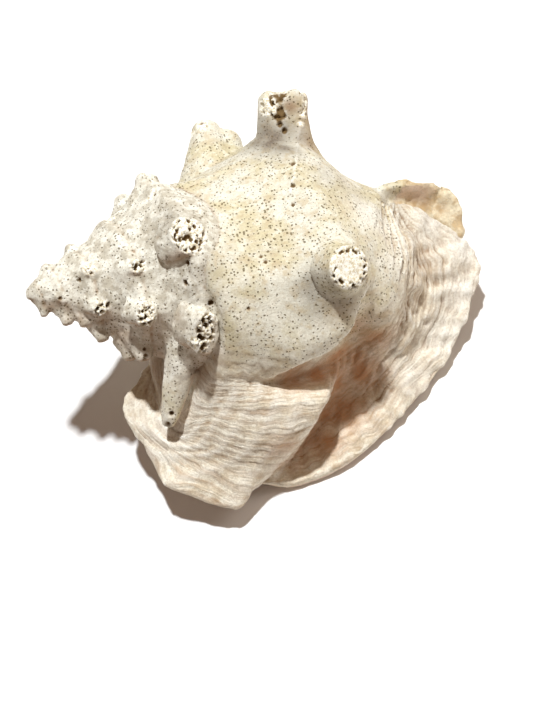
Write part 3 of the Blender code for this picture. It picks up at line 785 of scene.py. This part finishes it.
# Single holes: centre, radius, depth
holes = (
    ((65, 2, 49), 1.1, 1.8), ((64, -7, 46), 1.3, 2.2), ((61, 38, 22), 1.4, 2.0),
    ((73, -17, 48), 1.2, 1.8), ((98, -1, 60), 0.9, 1.2), ((125, 43, 39), 1.2, 2.0),
    ((121, 32, 46), 1.2, 1.8), ((118, 23, 50), 0.9, 1.4), ((128, 66, 20), 1.5, 2.2),
    ((130, 63, 21), 1.5, 2.2), ((124, 51, 26), 1.0, 1.4), ((123, 57, 20), 0.8, 1.2),
    ((56, -65, 16), 1.3, 2.2), ((54, -71, 13), 2.0, 2.2), ((47, -33, 18), 0.8, 1.4),
    ((47, -36, 18), 0.9, 1.4), ((47, -38, 17), 1.0, 1.6), ((135, -21, 74), 1.2, 1.5),
    ((96, 3, 61), 0.8, 1.0), ((88, -22, 56), 0.8, 1.0), ((13, -5, 12), 1.3, 1.4), ((45, 26, 5), 1.2, 1.4),
    ((64, 48, 6), 1.4, 1.4), ((20, 2, 18), 0.9, 1.2),
)
hole = np.zeros(len(points))
for centre, radius, depth in holes:
    gap = np.linalg.norm(points - nearestSurface(centre), axis=1)
    bite = 1 - ease(gap, radius * 0.55, radius * 1.25)
    height -= bite * depth
    hole = np.maximum(hole, bite)


# How strongly each point is stained by soft spots: centre, radius, strength
def stain(spots, seed):
    total = np.zeros(len(points))
    for centre, radius, strong in spots:
        gap = np.linalg.norm(points - nearestSurface(centre), axis=1) / radius
        total = np.maximum(total, strong * np.exp(-(gap ** 2)))
    return np.clip(total * (1.0 + 0.35 * noise(points, 6.0, seed)), 0, 1)


# Painted shade: the downward faces of the chalky whorls are browner, as if in shade under the spire
brownStainAndShade = np.maximum(0.8 * spireShare * ease(-normals[:, 1], 0.25, 0.9) * outside, stain((
    # Partly real brown stains (the tallest spine's boss, the canal's end), partly painted shadow under the knobs
    # and the spire
    ((134, 74, 21), 4.5, 0.9), ((145, 68, 14), 11.0, 0.9), ((143, 56, 18), 8.0, 0.6),
    ((199, 26, 10), 6.0, 0.8), ((204, 22, 9), 4.0, 0.6), ((203, 30, 14), 3.0, 0.5),
    ((212, 18, 10), 4.0, 0.35), ((187, -10, 32), 10.0, 0.35), ((188, 14, 6), 12.0, 0.6),
    ((128, -28, 62), 7.0, 0.45), ((52, -44, 2), 10.0, 0.7), ((60, -22, 42), 6.0, 0.3),
    ((38, -26, 12), 9.0, 0.6), ((20, -16, 8), 8.0, 0.6), ((72, -48, 26), 7.0, 0.5),
    ((50, -34, 14), 8.0, 0.5), ((74, -40, 40), 6.0, 0.5),
), 51))
# Partly real grey stains on the tallest spine's left face, partly painted shade below and beside the whorl's
# broken knob
greyStainAndShade = stain((
    ((123, 60, 18), 13.0, 1.0), ((125, 52, 28), 9.0, 0.8), ((121, -18, 68), 12.0, 0.7),
    ((72, -6, 50), 10.0, 0.4), ((62, 22, 40), 12.0, 0.35), ((140, 30, 38), 12.0, 0.3),
), 52)
# Where the pinholes crowd
dense = np.maximum(0.55 * spireShare * outside, stain((
    ((66, 0, 48), 13.0, 1.0), ((68, -14, 50), 12.0, 1.0), ((78, 4, 54), 10.0, 0.8),
    ((80, -20, 52), 12.0, 0.8), ((124, 58, 22), 14.0, 1.0), ((50, 8, 32), 10.0, 0.8),
    ((116, 20, 52), 12.0, 0.6), ((54, -66, 16), 10.0, 0.8), ((48, -35, 18), 6.0, 0.9),
    ((66, -40, 40), 9.0, 0.7),
), 53))
# Painted shade: the valley beside the whorl, which lies in the whorl's shadow, is painted warm brown
paintedValleyShade = outside * stain((
    ((144, -36, 40), 13.0, 0.45), ((136, -50, 24), 12.0, 1.0), ((127, -57, 24), 12.0, 1.0),
    ((147, -52, 27), 8.0, 0.8), ((138, -64, 20), 11.0, 1.0), ((131, -74, 15), 10.0, 0.95),
    ((124, -84, 13), 9.0, 0.9), ((114, -92, 14), 8.0, 0.7), ((112, -54, 34), 9.0, 0.9),
    ((104, -94, 18), 6.0, 0.6), ((154, -44, 36), 9.0, 0.7), ((151, -60, 26), 11.0, 0.9),
    ((142, -76, 18), 11.0, 0.9), ((130, -90, 16), 9.0, 0.8), ((103, -86, 32), 7.0, 0.5),
), 54)
# Painted light: lightened spots on the front of the whorl, the lobe below the spire and the outer wing
paintedLightSpots = outside * stain((
    ((156, 14, 48), 14.0, 0.8), ((150, 34, 36), 10.0, 0.5), ((160, -8, 52), 10.0, 0.6),
    ((54, -70, 6), 14.0, 0.8), ((213, -4, 28), 12.0, 0.9), ((209, -27, 29), 12.0, 0.9),
    ((197, 8, 28), 9.0, 0.9), ((196, -45, 29), 12.0, 0.8), ((178, -66, 30), 12.0, 0.5),
    ((62, -58, 14), 9.0, 0.8), ((61, -47, 17), 10.0, 0.9), ((218, 14, 14), 6.0, 0.6),
), 55)
groove = outside * ridged * (1 - ease(ridge, 0.08, 0.4)) * (0.6 + 0.4 * noise(points, 8, 17))
groove = np.maximum(groove, suture * 0.25)

# Painted shade in the crevices and painted highlight on the ridges: height against the mean of the neighbourhood
level = height
for step in range(9):
    level = neighbourMean(level)
cavity = (height - level) * outside

relieved = points + normals * height[:, None]
formMesh.vertices.foreach_set("co", relieved.ravel())
formMesh.update()
print("relief", round(time.time() - startTime, 1), "s")

# Fewer triangles where the surface is plain or hidden, and all of them at the pits
holder = bpy.data.objects.new("relief", formMesh)
bpy.context.scene.collection.objects.link(holder)
triangleCount = sum(len(p.vertices) - 2 for p in formMesh.polygons)
if triangleCount > conch["triangleLimit"]:
    plain = 0.25 + 0.75 * inside
    plain[(sponge > 0.1) | (hole > 0.05)] = 0.02
    plain = plain.round(2)
    group = holder.vertex_groups.new(name="plain")
    for share in np.unique(plain):
        group.add(np.flatnonzero(plain == share).tolist(), float(share), "REPLACE")
    reduce = holder.modifiers.new("reduce", "DECIMATE")
    reduce.vertex_group = "plain"
    reduce.vertex_group_factor = 1.0
    reduce.ratio = conch["triangleLimit"] / triangleCount
    reduce.use_collapse_triangulate = True
shellMesh = evaluatedCopy(holder)
bpy.data.objects.remove(holder, do_unlink=True)
kept = readVectors(shellMesh.vertices, "co")
reliefFinder = placeFinder(relieved)
source = np.array([reliefFinder.find(p)[1] for p in kept.tolist()])
print("reduced", triangleCount, "to", len(shellMesh.polygons), round(time.time() - startTime, 1), "s")

# What the material reads at each point
shares = {
    "growthStage": phase,
    "acrossLength": acrossLength,
    "spireShare": spireShare,
    "wingShare": wingShare,
    "insideShare": inside * (gapToSheet > 1.5),
    "flapShare": onFlap,
    "spongeShare": sponge,
    "holeShare": hole,
    "brownStainAndShadeShare": brownStainAndShade,
    "greyStainAndShadeShare": greyStainAndShade,
    "denseShare": dense,
    "paintedValleyShadeShare": paintedValleyShade,
    "paintedLightShare": paintedLightSpots,
    "cavity": cavity,
    "grooveShare": groove,
    "rimShare": outside * np.maximum(lipEdge, 0.35 * onFold * np.clip(pleat, 0, 1)),
    "reliefDepth": height - erosion * (0.5 + 0.8 * spireShare),
}
for name, values in shares.items():
    layer = shellMesh.attributes.new(name, "FLOAT", "POINT")
    layer.data.foreach_set("value", values[source].astype(np.float32))
layer = shellMesh.attributes.new("growthPlace", "FLOAT_VECTOR", "POINT")
layer.data.foreach_set("vector", points[source].astype(np.float32).ravel())

# The growth frame turns so that the shell lies on its lip, with its lowest spots worn flat
up = Vector(conch["upward"]).normalized()
right = (Vector((1, 0, 0)) - up * up.x).normalized()
turnBack = np.array(Matrix((right, up.cross(right), up)))
lyingPoints = kept @ turnBack.T
ground = lyingPoints[:, 2].min() + conch["wornFlat"]
lyingPoints[:, 2] = np.maximum(lyingPoints[:, 2], ground)
lowest, highest = lyingPoints.min(axis=0), lyingPoints.max(axis=0)
shift = np.array([0.5 * (lowest[0] + highest[0]), 0.5 * (lowest[1] + highest[1]), ground])
size = highest - lowest
cadSize = (np.array(cadHigh) - np.array(cadLow)) / mm
fit = np.minimum(1.0, (cadSize - 0.2) / size)  # keeps the relief inside the solid's box
print("visual size", size.round(1), "cad size", cadSize.round(1), "fit", fit.round(4))
shellMesh.vertices.foreach_set("co", ((lyingPoints - shift) * fit * mm).ravel())
shellMesh.update()
shellMesh.shade_smooth()
shell = bpy.data.objects.new("conchShell", shellMesh)
bpy.context.scene.collection.objects.link(shell)
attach(shell, "root")
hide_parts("shell")


def linear(hexColour):
    channels = [int(hexColour[i:i + 2], 16) / 255 for i in (1, 3, 5)]
    return tuple(c / 12.92 if c <= 0.04045 else ((c + 0.055) / 1.055) ** 2.4 for c in channels) + (1.0,)


# Adds one node with its settings, fills its sockets with values or links and gives back one output
def addNode(tree, kind, settings, sockets, output=0):
    node = tree.nodes.new("ShaderNode" + kind)
    for name, value in settings.items():
        setattr(node, name, value)
    for socket, value in sockets.items():
        if isinstance(value, bpy.types.NodeSocket):
            tree.links.new(value, node.inputs[socket])
        else:
            node.inputs[socket].default_value = value
    return node.outputs[output] if len(node.outputs) else node


# Weathered aragonite: the shell's own mineral, bleached by sun, scoured by sand and bored by sponges.
# To the eye it is chalky and matt, cream on the whorl and whiter on the spire, with painted warm shade in the
# valley by the whorl.
# The mouth was sheltered and keeps some of the gloss that the animal gave it.
weathered = bpy.data.materials.new("weathered aragonite")
weathered.use_nodes = True
shellTree = weathered.node_tree
shellTree.nodes.clear()
smoothStep, colourMix = {"interpolation_type": "SMOOTHSTEP"}, {"data_type": "RGBA"}
times, minus, plus = {"operation": "MULTIPLY"}, {"operation": "SUBTRACT"}, {"operation": "ADD"}
larger = {"operation": "MAXIMUM"}
place = addNode(shellTree, "Attribute", {"attribute_name": "growthPlace"}, {}, "Vector")
masks = {name: addNode(shellTree, "Attribute", {"attribute_name": name}, {}, "Fac") for name in shares}


# Lays colours over a base: mask, edges where it starts and is full or None for a share, strength, colour
def layered(colour, layers):
    for mask, edges, strength, over in layers:
        if edges:
            low, high = edges
            amount = addNode(shellTree, "MapRange", smoothStep, {0: mask, 1: low, 2: high, 4: strength})
        else:
            amount = addNode(shellTree, "Math", times, {0: mask, 1: strength})
        top = linear(over) if isinstance(over, str) else over
        colour = addNode(shellTree, "Mix", colourMix, {0: amount, 6: colour, 7: top}, 2)
    return colour


# Cloudy shades of three sizes; the finest stands for grains of a tenth of a millimetre, drawn about ten
# times coarser so that they show
cloud, blotch, grain = [
    addNode(shellTree, "TexNoise", {}, {"Vector": place, "Scale": 1 / size, "Detail": detail, "Roughness": rough})
    for size, detail, rough in conch["clouds"]
]
# Growth lines run along the growing edge; real ones are a few tenths of a millimetre apart, and these one
# to two millimetres, so that they show
lineAlong = addNode(shellTree, "Math", times, {0: masks["growthStage"], 1: conch["linesPerStage"]})
lineAcross = addNode(shellTree, "Math", times, {0: masks["acrossLength"], 1: 1 / conch["lineLength"]})
linePlace = addNode(shellTree, "CombineXYZ", {}, {"X": lineAlong, "Y": lineAcross})
lineNoise = {"Vector": linePlace, "Scale": 1.0, "Detail": 4.0, "Roughness": 0.6}
growthLine = addNode(shellTree, "TexNoise", {}, lineNoise)

cream = layered(linear("#E0DCCB"), (
    (cloud, (0.42, 0.62), 1.0, "#D0C5A2"), (blotch, (0.50, 0.64), 0.6, "#C4B08A"),
    (blotch, (0.46, 0.36), 0.6, "#F0EAD8"), (growthLine, (0.5, 0.75), 0.35, "#F1EBDC"),
))
chalk = layered(linear("#F2EEDF"), ((blotch, (0.4, 0.62), 1.0, "#C8C0AD"),))
beige = layered(linear("#F2EBD9"), (
    (blotch, (0.38, 0.66), 1.0, "#DDCFB5"), (growthLine, (0.5, 0.7), 0.5, "#C3A27C"),
))
tan = layered(linear("#E8DAB8"), ((blotch, (0.4, 0.6), 1.0, "#C9AC7C"),))
crust = layered(linear("#FFFCF0"), ((grain, (0.46, 0.58), 1.0, "#D8C9A6"),))
deepPit = addNode(shellTree, "MapRange", smoothStep, {0: masks["reliefDepth"], 1: -0.6, 2: -1.5})
spongePit = addNode(shellTree, "Math", times, {0: deepPit, 1: masks["spongeShare"]})
pit = addNode(shellTree, "Math", larger, {0: spongePit, 1: masks["holeShare"]})
colour = layered(cream, (
    (masks["wingShare"], None, 1.0, beige),
    (masks["spireShare"], None, 1.0, chalk),
    (masks["grooveShare"], None, 0.55, "#9C7650"),
    (masks["rimShare"], None, 0.75, "#F5F0E6"),
    # Painted shade in the crevices, painted highlight on the ridges
    (masks["cavity"], (-0.04, -0.55), 0.75, "#8C6844"),
    (masks["cavity"], (0.08, 0.5), 0.5, "#F6F2E8"),
    # Painted light on spots that the light falls on
    (masks["paintedLightShare"], None, 0.8, "#FBF7EC"),
    # Painted warm shade in the shadowed valley
    (masks["paintedValleyShadeShare"], None, 0.9, "#BE8354"),
    (masks["flapShare"], None, 0.8, tan),
    # Real brown stains and painted shade under the spire and its knobs
    (masks["brownStainAndShadeShare"], None, 0.9, "#8F6640"),
    # Real grey stains and painted shade beside the knobs
    (masks["greyStainAndShadeShare"], None, 1.0, "#72675A"),
    (masks["insideShare"], None, 1.0, "#E6CDB6"),
    (grain, (0.40, 0.70), 0.45, "#A8977D"),
    (masks["spongeShare"], None, 0.92, crust),
    (pit, None, 1.0, "#6F5630"),
))


# Round borings of a sponge, scattered one to a cell: a share of the surface where they are open
def borings(kind, where):
    cell = {"Vector": place, "Scale": 1 / kind["spacing"], "Randomness": kind["scatter"]}
    distance = addNode(shellTree, "TexVoronoi", {"feature": "F1"}, cell, "Distance")
    chance = addNode(shellTree, "SeparateColor", {}, {0: distance.node.outputs["Color"]}, kind["draw"])
    smallest, largest = kind["radii"]
    radius = addNode(shellTree, "MapRange", smoothStep,
                     {0: chance, 1: kind["smallShare"], 2: 1.0, 3: smallest, 4: largest})
    radius = addNode(shellTree, "Math", times, {0: radius, 1: where})
    depth = addNode(shellTree, "Math", minus, {0: radius, 1: distance})
    before, after = kind["softness"]
    opening = addNode(shellTree, "MapRange", smoothStep, {0: depth, 1: -before, 2: after})
    unseen, seenWhole = kind["leastRadii"]
    shown = addNode(shellTree, "MapRange", smoothStep, {0: radius, 1: unseen, 2: seenWhole})
    return addNode(shellTree, "Math", times, {0: opening, 1: shown})


# Both kinds are drawn at their real size; the smallest ones are about a picture dot wide
boredShare = addNode(shellTree, "MapRange", smoothStep, {0: cloud, 1: 0.3, 2: 0.6, 3: 0.75, 4: 1.15})
for name in ("wingShare", "insideShare", "spongeShare"):
    without = addNode(shellTree, "Math", minus, {0: 1.0, 1: masks[name]})
    boredShare = addNode(shellTree, "Math", times, {0: boredShare, 1: without})
crowded = addNode(shellTree, "MapRange", smoothStep, {0: blotch, 1: 0.35, 2: 0.55})
crowded = addNode(shellTree, "Math", times, {0: crowded, 1: masks["denseShare"]})
pore = borings(conch["pores"], boredShare)
pinhole = borings(conch["pinholes"], crowded)
colour = layered(colour, ((pore, None, 0.8, "#6E5C39"), (pinhole, None, 0.7, "#6E5C39")))

grainHeight = addNode(shellTree, "Math", times, {0: grain, 1: 0.5})
openHoles = addNode(shellTree, "Math", larger, {0: pore, 1: pinhole})
wingLines = addNode(shellTree, "Math", times, {0: masks["wingShare"], 1: 1.2})
lineHeight = addNode(shellTree, "Math", times, {0: growthLine, 1: wingLines})
fineHeight = addNode(shellTree, "Math", minus, {0: grainHeight, 1: openHoles})
fineHeight = addNode(shellTree, "Math", plus, {0: fineHeight, 1: lineHeight})
bump = addNode(shellTree, "Bump", {}, {"Strength": 0.8, "Distance": mm, "Height": fineHeight})
# Chalky outside, half glossy in the mouth; aragonite bends light by about 1.55
outsideRough, mouthRough = 0.82, 0.42
roughness = addNode(shellTree, "MapRange", smoothStep,
                    {0: masks["insideShare"], 1: 0.0, 2: 1.0, 3: outsideRough, 4: mouthRough})
shader = addNode(shellTree, "BsdfPrincipled", {}, {
    "Base Color": colour, "Roughness": roughness, "IOR": 1.55, "Specular IOR Level": 0.35, "Normal": bump,
})
addNode(shellTree, "OutputMaterial", {}, {"Surface": shader})
shellMesh.materials.clear()
shellMesh.materials.append(weathered)
print("material", round(time.time() - startTime, 1), "s")

# The camera stands at the photo's angle: tilt and roll of the growth frame before it, distance in
# millimetres, millimetres to a picture dot at the shell, and the place of the axis' middle in the picture
tilt, roll = math.radians(18), math.radians(8)
viewDistance, viewScale = 620.0, 0.49
pictureWidth, pictureHeight = 533, 711
middleAlong, middlePixel = 102.5, (236.6, 269.5)
sensorHeight = 36.0
axisRight = np.array([math.cos(tilt) * math.cos(roll), math.cos(tilt) * math.sin(roll), -math.sin(tilt)])
axisUp = np.array([-math.sin(roll), math.cos(roll), 0.0])
toCamera = np.stack([axisRight, axisUp, np.cross(axisRight, axisUp)], axis=1)
middlePlace = np.array([(middlePixel[0] - pictureWidth / 2) * viewScale,
                        (pictureHeight / 2 - middlePixel[1]) * viewScale, -viewDistance])
cameraTurn = turnBack @ toCamera.T
cameraPlace = -toCamera.T @ (middlePlace - axisRight * middleAlong)
cameraWorld = np.eye(4)
cameraWorld[:3, :3] = cameraTurn
cameraWorld[:3, 3] = (turnBack @ cameraPlace - shift) * mm
cameraData = bpy.data.cameras.new("camera")
cameraData.sensor_fit = "VERTICAL"
cameraData.sensor_height = sensorHeight
cameraData.lens = viewDistance / viewScale * sensorHeight / pictureHeight
cameraData.clip_start, cameraData.clip_end = 0.01, 20.0
camera = bpy.data.objects.new("camera", cameraData)
bpy.context.scene.collection.objects.link(camera)
camera.matrix_world = Matrix(cameraWorld.tolist())
bpy.context.scene.camera = camera

# Matt paper: uncoated and pale, so it takes a soft shadow and no gloss
floorHalf = 4.0
floorMesh = bpy.data.meshes.new("floor")
floorMesh.from_pydata([(x * floorHalf, y * floorHalf, 0) for x, y in ((-1, -1), (1, -1), (1, 1), (-1, 1))],
                      [], [(0, 1, 2, 3)])
floor = bpy.data.objects.new("floor", floorMesh)
floor.location = (0, 0, -0.2 * mm)
bpy.context.scene.collection.objects.link(floor)
paper = bpy.data.materials.new("matt paper")
paper.use_nodes = True
paperTree = paper.node_tree
paperTree.nodes.clear()
paperShader = addNode(paperTree, "BsdfPrincipled", {}, {"Base Color": linear("#F6F4F2"), "Roughness": 0.95})
addNode(paperTree, "OutputMaterial", {}, {"Surface": paperShader})
floorMesh.materials.append(paper)


# A lamp placed in the camera's own directions: right, up, back
def addLamp(name, direction, distance, width, power, hexColour):
    data = bpy.data.lights.new(name, "AREA")
    data.shape = "DISK"
    data.size = width
    data.energy = power
    data.color = linear(hexColour)[:3]
    lamp = bpy.data.objects.new(name, data)
    way = Vector(cameraTurn @ (np.array(direction) / np.linalg.norm(direction)))
    lamp.location = way * distance + Vector((0, 0, 0.05))
    lamp.rotation_euler = way.to_track_quat("Z", "Y").to_euler()
    bpy.context.scene.collection.objects.link(lamp)


addLamp("key", (-0.16, 0.66, 0.73), 1.6, 0.10, 34.0, "#F6FBFF")
addLamp("fill", (0.62, 0.55, 0.56), 1.6, 0.8, 5.0, "#FFF4E8")

# A warm glow lights the shell from all round; seen behind the floor, the room is as pale as the floor
world = bpy.data.worlds.new("studio")
bpy.context.scene.world = world
world.use_nodes = True
roomTree = world.node_tree
roomTree.nodes.clear()
glow = addNode(roomTree, "Background", {}, {"Color": linear("#FFDCC4"), "Strength": 0.19})
paleRoom = addNode(roomTree, "Background", {}, {"Color": linear("#F6F4F2"), "Strength": 0.95})
seen = addNode(roomTree, "LightPath", {}, {}, "Is Camera Ray")
room = addNode(roomTree, "MixShader", {}, {0: seen, 1: glow, 2: paleRoom})
addNode(roomTree, "OutputWorld", {}, {"Surface": room})
bpy.context.scene.view_settings.view_transform = "Standard"

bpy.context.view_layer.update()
print("scene", round(time.time() - startTime, 1), "s")
